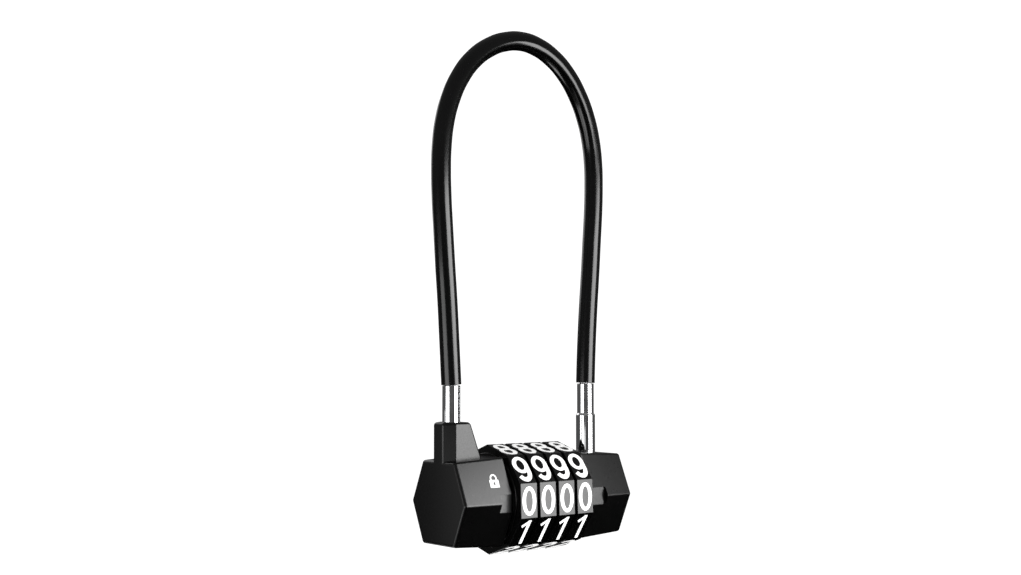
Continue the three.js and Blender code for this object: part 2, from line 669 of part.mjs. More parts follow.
const lockBody = new THREE.Group();
lockBody.position.z = -LOOP_INSIDE_TOP_Z;
lockBody.add(
  piece('left_housing', leftHousing(), materials.blackPaint),
  piece('right_housing', rightHousing(), materials.blackPaint),
  piece('core_tube', coreTube(), materials.brass),
  piece('detent_spring', detentSpring(), materials.springSteel),
  piece('left_core_pin', corePin(LEFT_CORE_PIN_X), materials.steel),
  piece('right_core_pin', corePin(RIGHT_CORE_PIN_X), materials.steel),
  piece('leg_pin', legPin(), materials.steel),
  piece('left_washer', washer(-1), materials.steel),
  piece('right_washer', washer(1), materials.steel),
  piece('lift_spring', liftSpring(), materials.springSteel),
  piece('return_spring', returnSpring(), materials.springSteel),
  piece('spindle', spindle(), materials.steel),
  piece('latch_block', latchBlock(), materials.brass),
  piece('latch_clip', latchClip(), materials.springSteel),
  piece('cable_sheath', cableSheath(), materials.vinylSheath),
  piece('wire_rope', wireRope(), materials.wireRope),
  piece('long_leg', longLeg(), materials.chrome),
  piece('plug', plug(), materials.chrome),
);
for (let number = 0; number < DIAL_COUNT; number += 1) {
  lockBody.add(
    piece(`dial_${number + 1}`, dial(number), materials.blackPlastic),
    piece(`code_wheel_${number + 1}`, codeWheel(number), materials.brass),
  );
}

const lock = new THREE.Group();
lock.add(lockBody);

export default lock;
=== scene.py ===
"""A four-dial combination cable lock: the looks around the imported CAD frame.

Everything is in metres in the CAD frame, whose origin is the inside of the cable loop's top. +X runs
along the dial axis, +Z up to the loop, and the digits are read from -Y. Small sizes are written in
millimetres and multiplied by MM.
"""

import json
import math

import bmesh
import bpy
from mathutils import Matrix, Vector
from mathutils.geometry import delaunay_2d_cdt


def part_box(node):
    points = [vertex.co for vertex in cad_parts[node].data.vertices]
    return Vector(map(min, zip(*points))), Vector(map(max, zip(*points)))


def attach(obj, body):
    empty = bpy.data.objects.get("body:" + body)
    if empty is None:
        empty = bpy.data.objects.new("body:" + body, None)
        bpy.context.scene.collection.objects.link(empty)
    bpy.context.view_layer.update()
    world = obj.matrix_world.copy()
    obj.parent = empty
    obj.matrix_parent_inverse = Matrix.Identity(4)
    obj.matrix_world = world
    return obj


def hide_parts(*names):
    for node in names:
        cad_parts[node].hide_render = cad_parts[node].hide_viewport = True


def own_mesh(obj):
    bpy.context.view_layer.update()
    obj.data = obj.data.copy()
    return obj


MM = 0.001
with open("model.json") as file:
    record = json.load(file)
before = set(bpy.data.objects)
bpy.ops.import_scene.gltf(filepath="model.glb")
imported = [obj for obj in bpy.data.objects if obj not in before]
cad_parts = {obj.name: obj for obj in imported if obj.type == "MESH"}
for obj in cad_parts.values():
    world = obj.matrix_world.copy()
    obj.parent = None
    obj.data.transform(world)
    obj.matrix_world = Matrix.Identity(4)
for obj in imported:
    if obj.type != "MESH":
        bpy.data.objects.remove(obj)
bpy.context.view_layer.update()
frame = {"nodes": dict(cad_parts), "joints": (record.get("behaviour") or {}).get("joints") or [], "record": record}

# ---- Places and sizes taken from the frame ----

JOINTS = {joint["name"]: joint for joint in frame["joints"]}
AXIS_Z = JOINTS["dial_1_turn"]["pos_m"][2]
DIGITS = 10
DIAL_NAMES = [f"dial_{number}" for number in range(1, 5)]

left_low, left_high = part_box("left_housing")
right_low, right_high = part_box("right_housing")
HOUSING_INNER_X = right_low.x
HOUSING_OUTER_X = right_high.x
TOWER_TOP = left_high.z - AXIS_Z
TOWER_LEFT = left_low.x

leg_low, leg_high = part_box("long_leg")
plug_low, plug_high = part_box("plug")
LEG_X = (leg_low.x + leg_high.x) / 2
PLUG_X = (plug_low.x + plug_high.x) / 2
FERRULE_TOP = leg_high.z - AXIS_Z


# ---- Camera ----

CAMERA_PLACE = Vector((-326.3 * MM, -393.3 * MM, AXIS_Z + 49.6 * MM))
CAMERA_YAW = math.radians(39.12)
CAMERA_PITCH = math.radians(2.95)
CAMERA_LENS = 49.36  # for a sensor 36 wide


def add_camera():
    data = bpy.data.cameras.new("photo_camera")
    data.sensor_width = 36
    data.lens = CAMERA_LENS
    data.clip_start = 0.01
    camera = bpy.data.objects.new("photo_camera", data)
    camera.location = CAMERA_PLACE
    camera.rotation_euler = (math.pi / 2 + CAMERA_PITCH, 0, -CAMERA_YAW)
    bpy.context.scene.collection.objects.link(camera)
    bpy.context.scene.camera = camera


# ---- Node materials ----

class Material:
    """A node material with a Principled shader and short calls for its nodes."""

    def __init__(self, name, **inputs):
        self.material = bpy.data.materials.new(name)
        self.material.use_nodes = True
        self.nodes = self.material.node_tree.nodes
        self.links = self.material.node_tree.links
        self.shader = self.nodes["Principled BSDF"]
        for label, value in inputs.items():
            self.shader.inputs[label.replace("_", " ")].default_value = value

    def node(self, kind, **settings):
        made = self.nodes.new(kind)
        for key, value in settings.items():
            if key in made.inputs:
                made.inputs[key].default_value = value
            else:
                setattr(made, key, value)
        return made

    def link(self, source, target):
        self.links.new(source, target)

    def place(self, scale=(1, 1, 1)):
        """The piece's own coordinates in metres, stretched by scale."""
        coordinates = self.node("ShaderNodeTexCoord")
        mapping = self.node("ShaderNodeMapping")
        mapping.inputs["Scale"].default_value = scale
        self.link(coordinates.outputs["Object"], mapping.inputs["Vector"])
        return mapping.outputs["Vector"]

    def noise(self, vector, scale, detail=3, roughness=0.5):
        made = self.node("ShaderNodeTexNoise", Scale=scale, Detail=detail, Roughness=roughness)
        self.link(vector, made.inputs["Vector"])
        return made.outputs["Fac"]

    def spread(self, factor, low, high, start=0.3, end=0.7):
        """factor, stretched from start..end to low..high."""
        made = self.node("ShaderNodeMapRange")
        for index, value in enumerate((start, end, low, high), start=1):
            made.inputs[index].default_value = value
        self.link(factor, made.inputs[0])
        return made.outputs[0]

    def tint(self, factor, low, high):
        """A colour between low and high."""
        made = self.node("ShaderNodeMix", data_type="RGBA")
        made.inputs[6].default_value = (*low, 1)
        made.inputs[7].default_value = (*high, 1)
        self.link(factor, made.inputs[0])
        self.link(made.outputs[2], self.shader.inputs["Base Color"])

    def rough(self, value):
        self.link(value, self.shader.inputs["Roughness"])

    def bump(self, *layers):
        """Each layer is (height, strength, distance in metres)."""
        normal = None
        for height, strength, distance in layers:
            made = self.node("ShaderNodeBump", Strength=strength, Distance=distance)
            self.link(height, made.inputs["Height"])
            if normal is not None:
                self.link(normal, made.inputs["Normal"])
            normal = made.outputs["Normal"]
        self.link(normal, self.shader.inputs["Normal"])


DARKEST_BLACK = (0.0002, 0.0002, 0.0002)
LIGHTEST_BLACK = (0.0006, 0.0006, 0.0006)


def paint_material():
    """Satin black paint on die-cast zinc."""
    made = Material("black_paint", Specular_IOR_Level=0.5)
    grain = made.noise(made.place(), 1500, 4, 0.6)
    cloud = made.noise(made.place(), 60, 3)
    made.tint(made.spread(cloud, 0, 1), DARKEST_BLACK, LIGHTEST_BLACK)
    made.rough(made.spread(grain, 0.27, 0.33))
    made.bump((grain, 0.05, 0.00001), (made.noise(made.place(), 300, 2), 0.04, 0.00004))
    return made.material


def dial_material():
    """Black moulded dials with a polished face and faint moulding grain."""
    made = Material("dial_black", Specular_IOR_Level=0.5)
    grain = made.noise(made.place(), 1800, 4, 0.65)
    cloud = made.noise(made.place(), 90, 3)
    made.tint(made.spread(cloud, 0, 1), DARKEST_BLACK, LIGHTEST_BLACK)
    made.rough(made.spread(grain, 0.2, 0.27))
    made.bump((grain, 0.05, 0.00001))
    return made.material


def digit_material():
    """White paint, slightly uneven, filled into the digits."""
    made = Material("digit_white", Specular_IOR_Level=0.4)
    cloud = made.noise(made.place(), 1400, 4, 0.6)
    made.tint(made.spread(cloud, 0, 1), (0.58, 0.58, 0.575), (0.65, 0.65, 0.65))
    made.rough(made.spread(cloud, 0.35, 0.5))
    made.bump((cloud, 0.15, 0.00003))
    return made.material


def sheath_material():
    """Shiny black vinyl with faint lines from the die it was drawn through."""
    made = Material("vinyl_sheath", Specular_IOR_Level=0.5)
    ripple = made.noise(made.place(), 160, 3)
    grain = made.noise(made.place(), 2400, 3, 0.6)
    made.tint(made.spread(ripple, 0, 1), DARKEST_BLACK, (0.0007, 0.0007, 0.0007))
    made.rough(made.spread(grain, 0.17, 0.19))
    made.bump((ripple, 0.06, 0.0001), (grain, 0.02, 0.00001))
    return made.material


def chrome_material():
    """Bright plated steel with the turning marks left just visible."""
    made = Material("chrome", Metallic=1.0)
    rings = made.noise(made.place((1, 1, 40)), 120, 2)
    cloud = made.noise(made.place(), 200, 3)
    made.tint(made.spread(cloud, 0, 1), (0.84, 0.85, 0.86), (0.93, 0.93, 0.94))
    made.rough(made.spread(cloud, 0.05, 0.12))
    made.bump((rings, 0.006, 0.00001))
    return made.material


def metal_material(name, low, high, roughness, stretch):
    """Machined or drawn metal with fine marks, dull in patches."""
    made = Material(name, Metallic=1.0)
    marks = made.noise(made.place(stretch), 900, 4, 0.6)
    cloud = made.noise(made.place(), 150, 3)
    made.tint(made.spread(cloud, 0, 1), low, high)
    made.rough(made.spread(marks, roughness * 0.7, roughness * 1.3))
    made.bump((marks, 0.15, 0.00003))
    return made.material


def floor_material():
    """Plain pale floor with a hint of variation."""
    made = Material("pale_floor", Specular_IOR_Level=0.0, Roughness=1.0)
    cloud = made.noise(made.place(), 2, 2)
    made.tint(made.spread(cloud, 0, 1), (0.96, 0.96, 0.96), (0.98, 0.98, 0.98))
    return made.material


# ---- Mesh helpers ----

def add_mesh(name, mesh):
    made = bpy.data.objects.new(name, mesh)
    bpy.context.scene.collection.objects.link(made)
    return made


def mesh_from(name, grid):
    """A piece from a bmesh, its faces turned outwards; the bmesh is used up."""
    bmesh.ops.recalc_face_normals(grid, faces=grid.faces)
    mesh = bpy.data.meshes.new(name)
    grid.to_mesh(mesh)
    grid.free()
    return add_mesh(name, mesh)


def applied(piece, *steps):
    """piece with its modifiers made real. A step is a modifier's type and settings."""
    for kind, settings in steps:
        modifier = piece.modifiers.new(kind.lower(), kind)
        for key, value in settings.items():
            setattr(modifier, key, value)
    bpy.context.view_layer.update()
    whole = piece.evaluated_get(bpy.context.evaluated_depsgraph_get())
    mesh = bpy.data.meshes.new_from_object(whole)
    piece.modifiers.clear()
    piece.data = mesh
    return piece


def bevel(width, angle=30):
    return "BEVEL", {
        "width": width,
        "segments": 3,
        "limit_method": "ANGLE",
        "angle_limit": math.radians(angle),
        "use_clamp_overlap": True,
    }


def boolean(operation, other):
    return "BOOLEAN", {"operation": operation, "object": other, "solver": "EXACT"}


def cut(piece, *tools):
    """piece with the tools cut away; the tools are used up."""
    for tool in tools:
        applied(piece, boolean("DIFFERENCE", tool))
        bpy.data.objects.remove(tool)
    return piece


def smooth(piece, angle=30):
    """Smooth shading that keeps flat faces flat."""
    for polygon in piece.data.polygons:
        polygon.use_smooth = True
    piece.data.set_sharp_from_angle(angle=math.radians(angle))
    return applied(piece, ("WEIGHTED_NORMAL", {"keep_sharp": True, "weight": 80}))


def loft(name, rings):
    """A solid through rings of equally many 3-D points, closed at both ends."""
    grid = bmesh.new()
    rims = [[grid.verts.new(place) for place in ring] for ring in rings]
    grid.faces.new(rims[0])
    grid.faces.new(rims[-1])
    for lower, upper in zip(rims, rims[1:]):
        for i in range(len(lower)):
            j = (i + 1) % len(lower)
            grid.faces.new((lower[i], lower[j], upper[j], upper[i]))
    return mesh_from(name, grid)


def prism(name, outline, across, ends):
    """outline's points, made 3-D by across(point, end), joined between two ends."""
    return loft(name, [[across(point, end) for point in outline] for end in ends])


def prism_x(name, outline, ends):
    """An outline in (y, height above the dial axis), extruded along X."""
    return prism(name, outline, lambda p, x: (x, p[0], AXIS_Z + p[1]), ends)


def circle(radius, count, turn=0.0):
    """count points around the origin, turned by turn steps."""
    steps = (2 * math.pi * (i + turn) / count for i in range(count))
    return [(radius * math.cos(angle), radius * math.sin(angle)) for angle in steps]


def rounded_outline(corners, radius, inset=0.0, steps=6):
    """An anticlockwise outline with its corners as arcs, all of it moved in by inset."""
    points = []
    for i, corner in enumerate(corners):
        here = Vector(corner)
        before = (Vector(corners[i - 1]) - here).normalized()
        after = (Vector(corners[(i + 1) % len(corners)]) - here).normalized()
        half = before.angle(after) / 2
        bisector = (before + after).normalized()
        centre = here + bisector * (radius / math.sin(half))
        middle = math.atan2(-bisector.y, -bisector.x)
        reach = math.pi / 2 - half
        for step in range(steps + 1):
            turn = middle - reach + 2 * reach * step / steps
            points.append((
                centre.x + (radius - inset) * math.cos(turn),
                centre.y + (radius - inset) * math.sin(turn),
            ))
    return points


DEEPEST_INSET = 0.97  # of the rounding's radius, so that the corners' arcs never shrink to points


def rounded_end(radius, steps=6):
    """How far in and how far along each ring of a rounded end lies, from the end face inwards."""
    rings = []
    for i in range(steps + 1):
        turn = math.pi / 2 * i / steps
        inset = min(radius * (1 - math.sin(turn)), radius * DEEPEST_INSET)
        rings.append((inset, radius * (1 - math.cos(turn))))
    return rings


def box(name, low, high):
    """A block between two corners in (x, y, height above the dial axis)."""
    outline = [(low[1], low[2]), (high[1], low[2]), (high[1], high[2]), (low[1], high[2])]
    return prism_x(name, outline, (low[0], high[0]))


def rod_x(name, radius, ends, count=96):
    return prism_x(name, circle(radius, count), ends)


def rod_y(name, radius, x, height, ends, count=48):
    outline = [(x + a, AXIS_Z + height + b) for a, b in circle(radius, count)]
    return prism(name, outline, lambda p, y: (p[0], y, p[1]), ends)


def rod_z(name, radius, x, heights, count=64):
    outline = [(x + a, b) for a, b in circle(radius, count)]
    return prism(name, outline, lambda p, z: (p[0], p[1], AXIS_Z + z), heights)


def lathe(name, profile, x, count=96):
    """A profile of (radius, height above the dial axis), from axis to axis, turned about x."""
    grid = bmesh.new()
    rings = []
    for radius, height in profile:
        outline = circle(radius, count) if radius else [(0, 0)]
        rings.append([grid.verts.new((x + a, b, AXIS_Z + height)) for a, b in outline])
    for lower, upper in zip(rings, rings[1:]):
        for i in range(count):
            j = (i + 1) % count
            corners = [
                lower[i % len(lower)], lower[j % len(lower)],
                upper[j % len(upper)], upper[i % len(upper)],
            ]
            grid.faces.new(list(dict.fromkeys(corners)))
    return mesh_from(name, grid)


def finish_piece(piece, body, material, slot_name, *nodes):
    """Gives a piece its material, its body and the CAD nodes that it replaces; slot_name is not used."""
    piece.data.materials.clear()
    piece.data.materials.append(material)
    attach(piece, body)
    if nodes:
        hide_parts(*nodes)
    return piece


# ---- Cable ----

# The centreline from the left end to the right end: x, and the height above the dial axis, in mm.
CABLE_ROUTE = [
    (-33.1, 40.9), (-33.6, 49.5), (-34.1, 57.9), (-34.9, 70.5), (-35.9, 83.1), (-36.8, 95.5),
    (-37.5, 106.0), (-37.8, 116.4), (-37.5, 124.7), (-36.4, 132.8), (-33.9, 141.2), (-29.6, 149.7),
    (-23.6, 157.0), (-15.8, 162.6), (-8.6, 165.5), (-1.2, 166.6), (5.9, 165.7), (13.6, 162.5),
    (20.3, 157.4), (26.4, 149.7), (30.6, 141.3), (33.1, 132.7), (34.3, 123.9), (34.5, 115.0),
    (34.2, 105.9), (33.4, 94.4), (32.6, 82.8), (31.5, 69.1), (30.5, 53.2), (30.0, 40.9),
]
SHEATH_RADIUS = 3.54 * MM


def make_sheath(material):
    data = bpy.data.curves.new("cable_sheath_skin", "CURVE")
    data.dimensions = "3D"
    data.bevel_depth = SHEATH_RADIUS
    data.bevel_resolution = 14
    data.resolution_u = 10
    data.use_fill_caps = True
    line = data.splines.new("BEZIER")
    line.bezier_points.add(len(CABLE_ROUTE) - 1)
    for point, (x, height) in zip(line.bezier_points, CABLE_ROUTE):
        point.co = (x * MM, 0, AXIS_Z + height * MM)
        point.handle_left_type = "AUTO"
        point.handle_right_type = "AUTO"
    data.materials.append(material)
    sheath = bpy.data.objects.new("cable_sheath_skin", data)
    bpy.context.scene.collection.objects.link(sheath)
    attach(sheath, "cable")
    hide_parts("cable_sheath")
    return sheath


# ---- Ferrules ----

# Heights are above the dial axis.
FERRULE_RADIUS = (leg_high.x - leg_low.x) / 2
SOCKET_RADIUS = 2.6 * MM  # for the wire rope, in both ferrules
LEG_SOCKET_FLOOR = 29 * MM
LEG_NECK_RADIUS = 2.3 * MM  # the neck that the leg pin crosses
LEG_NECK_BOTTOM = -7.2 * MM
LEG_NECK_TOP = 11 * MM
LEG_NECK_TAPER = 0.6 * MM
PLUG_RADIUS = (plug_high.x - plug_low.x) / 2
PLUG_TIP_RADIUS = 2.9 * MM
PLUG_NOSE_RADIUS = 3.5 * MM
PLUG_NOSE_HEIGHT = 0.6 * MM
GROOVE_RADIUS = 2.6 * MM  # the groove that the latch holds
GROOVE_BOTTOM = 5.7 * MM
GROOVE_TOP = 8.3 * MM
GROOVE_SHOULDER = 8.6 * MM
PLUG_STEP_BOTTOM = 28.95 * MM
PLUG_STEP_TOP = 29.4 * MM
PLUG_SOCKET_FLOOR = 29.6 * MM
LONGEST_ROUNDING = 0.45  # of a side's length, so that two roundings never meet


def rounded_step(points, radius=0.25 * MM, steps=4):
    """The profile's corners, rounded by cutting each one off along a small curve."""
    made = [points[0]]
    for before, corner, after in zip(points, points[1:], points[2:]):
        a, b, c = Vector(before), Vector(corner), Vector(after)
        reach = min(radius, (a - b).length * LONGEST_ROUNDING, (c - b).length * LONGEST_ROUNDING)
        start = b + (a - b).normalized() * reach
        end = b + (c - b).normalized() * reach
        for i in range(steps + 1):
            t = i / steps
            made.append(tuple((1 - t) ** 2 * start + 2 * t * (1 - t) * b + t * t * end))
    made.append(points[-1])
    return made


def make_long_leg(material):
    foot = leg_low.z - AXIS_Z
    profile = rounded_step([
        (0, foot),
        (FERRULE_RADIUS, foot),
        (FERRULE_RADIUS, LEG_NECK_BOTTOM),
        (LEG_NECK_RADIUS, LEG_NECK_BOTTOM),
        (LEG_NECK_RADIUS, LEG_NECK_TOP),
        (FERRULE_RADIUS, LEG_NECK_TOP + LEG_NECK_TAPER),
        (FERRULE_RADIUS, FERRULE_TOP),
        (SOCKET_RADIUS, FERRULE_TOP),
        (SOCKET_RADIUS, LEG_SOCKET_FLOOR),
        (0, LEG_SOCKET_FLOOR),
    ])
    piece = smooth(lathe("long_leg_chromed", profile, LEG_X))
    return finish_piece(piece, "cable", material, "chrome", "long_leg")


def make_plug(material):
    tip = plug_low.z - AXIS_Z
    profile = rounded_step([
        (0, tip),
        (PLUG_TIP_RADIUS, tip),
        (PLUG_NOSE_RADIUS, tip + PLUG_NOSE_HEIGHT),
        (GROOVE_RADIUS, GROOVE_BOTTOM),
        (GROOVE_RADIUS, GROOVE_TOP),
        (PLUG_RADIUS, GROOVE_SHOULDER),
        (PLUG_RADIUS, PLUG_STEP_BOTTOM),
        (FERRULE_RADIUS, PLUG_STEP_TOP),
        (FERRULE_RADIUS, FERRULE_TOP),
        (SOCKET_RADIUS, FERRULE_TOP),
        (SOCKET_RADIUS, PLUG_SOCKET_FLOOR),
        (0, PLUG_SOCKET_FLOOR),
    ])
    piece = smooth(lathe("plug_chromed", profile, PLUG_X))
    return finish_piece(piece, "cable", material, "chrome", "plug")


# ---- Housings ----

HEX_HALF_HEIGHT = 14.47 * MM  # the section's sizes are those at the outer end
HEX_VERTEX_Y = 15.7 * MM
HEX_FLAT_HALF_Y = 9.35 * MM
HOUSING_GROWTH = 0.078
EDGE_RADIUS = 1.1 * MM
NOTCH_HALF_HEIGHT = 3.15 * MM
NOTCH_FLOOR = 14.5 * MM
NOTCH_LENGTHS = {-1: 5.9 * MM, 1: 8.6 * MM}
NOTCH_CORNERS = {-1: 0.4 * MM, 1: 0.8 * MM}
NOTCH_OVERRUN = 3 * MM  # how far the notch's cut starts outside the housing
TOOL_REACH = 1.2  # of the section's half size, so that a cut passes the housing's faces
TOWER_HALF_Y = 5.5 * MM
TOWER_RIGHT_AT_TOP = -28.5 * MM
TOWER_RIGHT_AT_FLAT = -23.6 * MM
TOWER_FLAT = 15 * MM  # the housing's top beside the tower
TOWER_ROOT = 12 * MM
TOWER_CHAMFER_X = 3.7 * MM
TOWER_CHAMFER_Y = 2.9 * MM

# Every bore and the washer pocket are given by their radius.
TUBE_BORE = 3.7 * MM
TUBE_BORE_ENDS = {-1: -28.6 * MM, 1: 21.2 * MM}
WASHER_POCKET = 8.3 * MM
WASHER_POCKET_DEPTH = 1.1 * MM
CORE_PIN_X = {-1: -24 * MM, 1: 19.5 * MM}
CORE_PIN_BORE = 1.1 * MM
LEG_BORE = 3.45 * MM
LEG_BORE_FLOOR = -12.9 * MM
LEG_PIN_PLACE = (-29.65 * MM, 9.5 * MM)  # x, and the height above the dial axis
LEG_PIN_BORE = 1.2 * MM
LEG_PIN_FRONT_Y = -7 * MM
PLUG_BORE = 3.9 * MM
PLUG_BORE_FLOOR = -1.2 * MM
LATCH_CAVITY_RIGHT = 27.6 * MM
LATCH_CAVITY_HALF_Y = 2.8 * MM
LATCH_CAVITY_HEIGHTS = (-2.9 * MM, 8.4 * MM)
HOUSING_BEVEL = bevel(0.3 * MM, 40)  # for the edges of the cuts


def growth_at(x):
    """How much larger the housings' section is at x than at their outer ends."""
    return 1 + HOUSING_GROWTH * (HOUSING_OUTER_X - abs(x)) / (HOUSING_OUTER_X - HOUSING_INNER_X)


def hexagon_block(name, side):
    """A six-sided block that grows towards the dials, all its edges rounded."""
    y, flat_y, z = HEX_VERTEX_Y, HEX_FLAT_HALF_Y, HEX_HALF_HEIGHT
    corners = [(-y, 0), (-flat_y, -z), (flat_y, -z), (y, 0), (flat_y, z), (-flat_y, z)]
    ends = rounded_end(EDGE_RADIUS)
    stations = [(HOUSING_INNER_X + along, inset) for inset, along in ends]
    stations += [(HOUSING_OUTER_X - along, inset) for inset, along in reversed(ends)]
    rings = []
    for x, inset in stations:
        growth = growth_at(x)
        outline = rounded_outline(corners, EDGE_RADIUS, inset)
        rings.append([(side * x, growth * a, AXIS_Z + growth * b) for a, b in outline])
    return loft(name, rings)


def tower_block():
    """The tower: four straight sides and two chamfered corners, its right side leaning."""
    slope = (TOWER_RIGHT_AT_FLAT - TOWER_RIGHT_AT_TOP) / (TOWER_TOP - TOWER_FLAT)
    side = TOWER_HALF_Y - TOWER_CHAMFER_Y
    shoulder = TOWER_LEFT + TOWER_CHAMFER_X
    stations = [(TOWER_ROOT, 0.0)]
    stations += [(TOWER_TOP - along, inset) for inset, along in reversed(rounded_end(EDGE_RADIUS))]
    rings = []
    for height, inset in stations:
        right = TOWER_RIGHT_AT_TOP + slope * (TOWER_TOP - height)
        corners = [
            (TOWER_LEFT, -side), (shoulder, -TOWER_HALF_Y), (right, -TOWER_HALF_Y),
            (right, TOWER_HALF_Y), (shoulder, TOWER_HALF_Y), (TOWER_LEFT, side),
        ]
        outline = rounded_outline(corners, EDGE_RADIUS, inset)
        rings.append([(x, y, AXIS_Z + height) for x, y in outline])
    return loft("tower_block", rings)


def notch_tool(side):
    """A block with rounded outer corners, cut across the housing's front edge."""
    near = side * (HOUSING_INNER_X - NOTCH_OVERRUN)
    far = side * (HOUSING_INNER_X + NOTCH_LENGTHS[side])
    left, right = sorted((near, far))
    corners = [
        (left, -NOTCH_HALF_HEIGHT), (right, -NOTCH_HALF_HEIGHT),
        (right, NOTCH_HALF_HEIGHT), (left, NOTCH_HALF_HEIGHT),
    ]
    outline = rounded_outline(corners, NOTCH_CORNERS[side])
    ends = (-HEX_VERTEX_Y * TOOL_REACH, -NOTCH_FLOOR)
    return prism("notch_tool", outline, lambda p, y: (p[0], y, AXIS_Z + p[1]), ends)


def shared_cuts(side):
    """The cuts that both housings have: core tube, washer pocket, core pin and notch."""
    inner = side * HOUSING_INNER_X
    pin_x = CORE_PIN_X[side]
    pocket = inner + side * WASHER_POCKET_DEPTH
    return [
        rod_x("tube_tool", TUBE_BORE, sorted((inner - side * MM, TUBE_BORE_ENDS[side]))),
        rod_x("pocket_tool", WASHER_POCKET, sorted((inner - side * MM, pocket))),
        rod_z("pin_tool", CORE_PIN_BORE, pin_x, (-HEX_HALF_HEIGHT * growth_at(pin_x) - MM, 0)),
        notch_tool(side),
    ]


def make_left_housing(material):
    block = hexagon_block("left_housing_painted", -1)
    tower = tower_block()
    applied(block, boolean("UNION", tower))
    bpy.data.objects.remove(tower)
    cut(
        block,
        rod_z("leg_tool", LEG_BORE, LEG_X, (LEG_BORE_FLOOR, TOWER_TOP + MM)),
        rod_y("leg_pin_tool", LEG_PIN_BORE, *LEG_PIN_PLACE, (LEG_PIN_FRONT_Y, HEX_VERTEX_Y * TOOL_REACH)),
        *shared_cuts(-1),
    )
    applied(block, HOUSING_BEVEL)
    return finish_piece(smooth(block), "lock_frame", material, "black_paint", "left_housing")


def make_right_housing(material):
    block = hexagon_block("right_housing_painted", 1)
    floor, ceiling = LATCH_CAVITY_HEIGHTS
    cavity_low = (HOUSING_INNER_X - MM, -LATCH_CAVITY_HALF_Y, floor)
    cavity_high = (LATCH_CAVITY_RIGHT, LATCH_CAVITY_HALF_Y, ceiling)
    cut(
        block,
        rod_z("plug_tool", PLUG_BORE, PLUG_X, (PLUG_BORE_FLOOR, HEX_HALF_HEIGHT * TOOL_REACH)),
        box("latch_tool", cavity_low, cavity_high),
        *shared_cuts(1),
    )
    applied(block, HOUSING_BEVEL)
    return finish_piece(smooth(block), "lock_frame", material, "black_paint", "right_housing")


# ---- Dials ----

DIAL_APOTHEM = 18.5 * MM
FACET_WIDTH = 7.45 * MM
FACET_BEVEL = bevel(0.22 * MM, 20)
FACET_TURN = math.radians(-2)  # the facets' turn about the dial axis from the keyways
HUB_RADIUS = 16.5 * MM
HUB_SIDES = 160
HUB_BEVEL = bevel(0.15 * MM)
HUB_REACH = 0.12 * MM  # how far each end of the hub stands past the CAD dial, to narrow the gaps
BORE_RADIUS = 7.7 * MM
KEYWAY_DEPTH = 0.6 * MM
KEYWAY_SHARE = 0.4  # of the bore's tenth that each keyway takes up
KEYWAY_FLARE = 1.25  # a keyway's width at its mouth, from its width at its floor


def bore_outline():
    """The dial's bore, a circle with ten keyways."""
    points = []
    step = 2 * math.pi / DIGITS
    half = step * KEYWAY_SHARE / 2
    for digit in range(DIGITS):
        middle = math.pi + digit * step
        for radius, angle in (
            (BORE_RADIUS, middle - half * KEYWAY_FLARE),
            (BORE_RADIUS + KEYWAY_DEPTH, middle - half),
            (BORE_RADIUS + KEYWAY_DEPTH, middle + half),
            (BORE_RADIUS, middle + half * KEYWAY_FLARE),
            (BORE_RADIUS, middle + step / 2),
        ):
            points.append((radius * math.cos(angle), radius * math.sin(angle)))
    return points


def make_dial(name, material):
    low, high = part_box(name)
    x = (low.x + high.x) / 2
    corner = DIAL_APOTHEM / math.cos(math.pi / DIGITS)
    facets = circle(corner, DIGITS, 0.5 + FACET_TURN * DIGITS / (2 * math.pi))
    rim = prism_x(f"{name}_moulded", facets, (x - FACET_WIDTH / 2, x + FACET_WIDTH / 2))
    applied(rim, FACET_BEVEL)
    hub = rod_x("hub_tool", HUB_RADIUS, (low.x - HUB_REACH, high.x + HUB_REACH), HUB_SIDES)
    applied(hub, HUB_BEVEL)
    applied(rim, boolean("UNION", hub))
    bpy.data.objects.remove(hub)
    cut(rim, prism_x("bore_tool", bore_outline(), (low.x - MM, high.x + MM)))
    body = f"dial_set_{name[-1]}"
    return finish_piece(smooth(rim, 25), body, material, "dial_black", name)


# ---- Digits ----

STROKE = 1.75 * MM
DIGIT_HALF_HEIGHT = 5.15 * MM
DIGIT_HALF_WIDTH = 3.35 * MM
PAINT_PROUD = 0.06 * MM
PAINT_SUNK = 0.08 * MM
SIDE = DIGIT_HALF_WIDTH - STROKE / 2  # the strokes' middle line, at the sides
TOP = DIGIT_HALF_HEIGHT - STROKE / 2  # and at the top


def arc(x, z, radius_x, radius_z, start, end, count=28):
    """Points along part of an ellipse; angles in degrees, anticlockwise from the right."""
    turns = (math.radians(start + (end - start) * i / count) for i in range(count + 1))
    return [(x + radius_x * math.cos(turn), z + radius_z * math.sin(turn)) for turn in turns]


def ring(x, z, half_width, half_height, side=STROKE, top=STROKE * 0.74):
    """An oval ring as (outer loop, inner loop), thinner at its top than at its sides."""
    outer = arc(x, z, half_width, half_height, 0, 360, 56)[:-1]
    inner = arc(x, z, half_width - side, half_height - top, 0, 360, 56)[:-1]
    return outer, inner


def stroke(points, width=STROKE):
    """A line of even width with square ends and mitred corners, as (outline, None)."""
    line = [Vector(point) for point in points]
    left, right = [], []
    for i, here in enumerate(line):
        before = (here - line[i - 1]).normalized() if i else None
        after = (line[i + 1] - here).normalized() if i + 1 < len(line) else None
        along = ((before or after) + (after or before)).normalized()
        across = Vector((-along.y, along.x))
        lean = abs(along.dot(after or before))
        reach = width / 2 / max(lean, 0.5)
        left.append(here + across * reach)
        right.append(here - across * reach)
    return [tuple(point) for point in left + right[::-1]], None


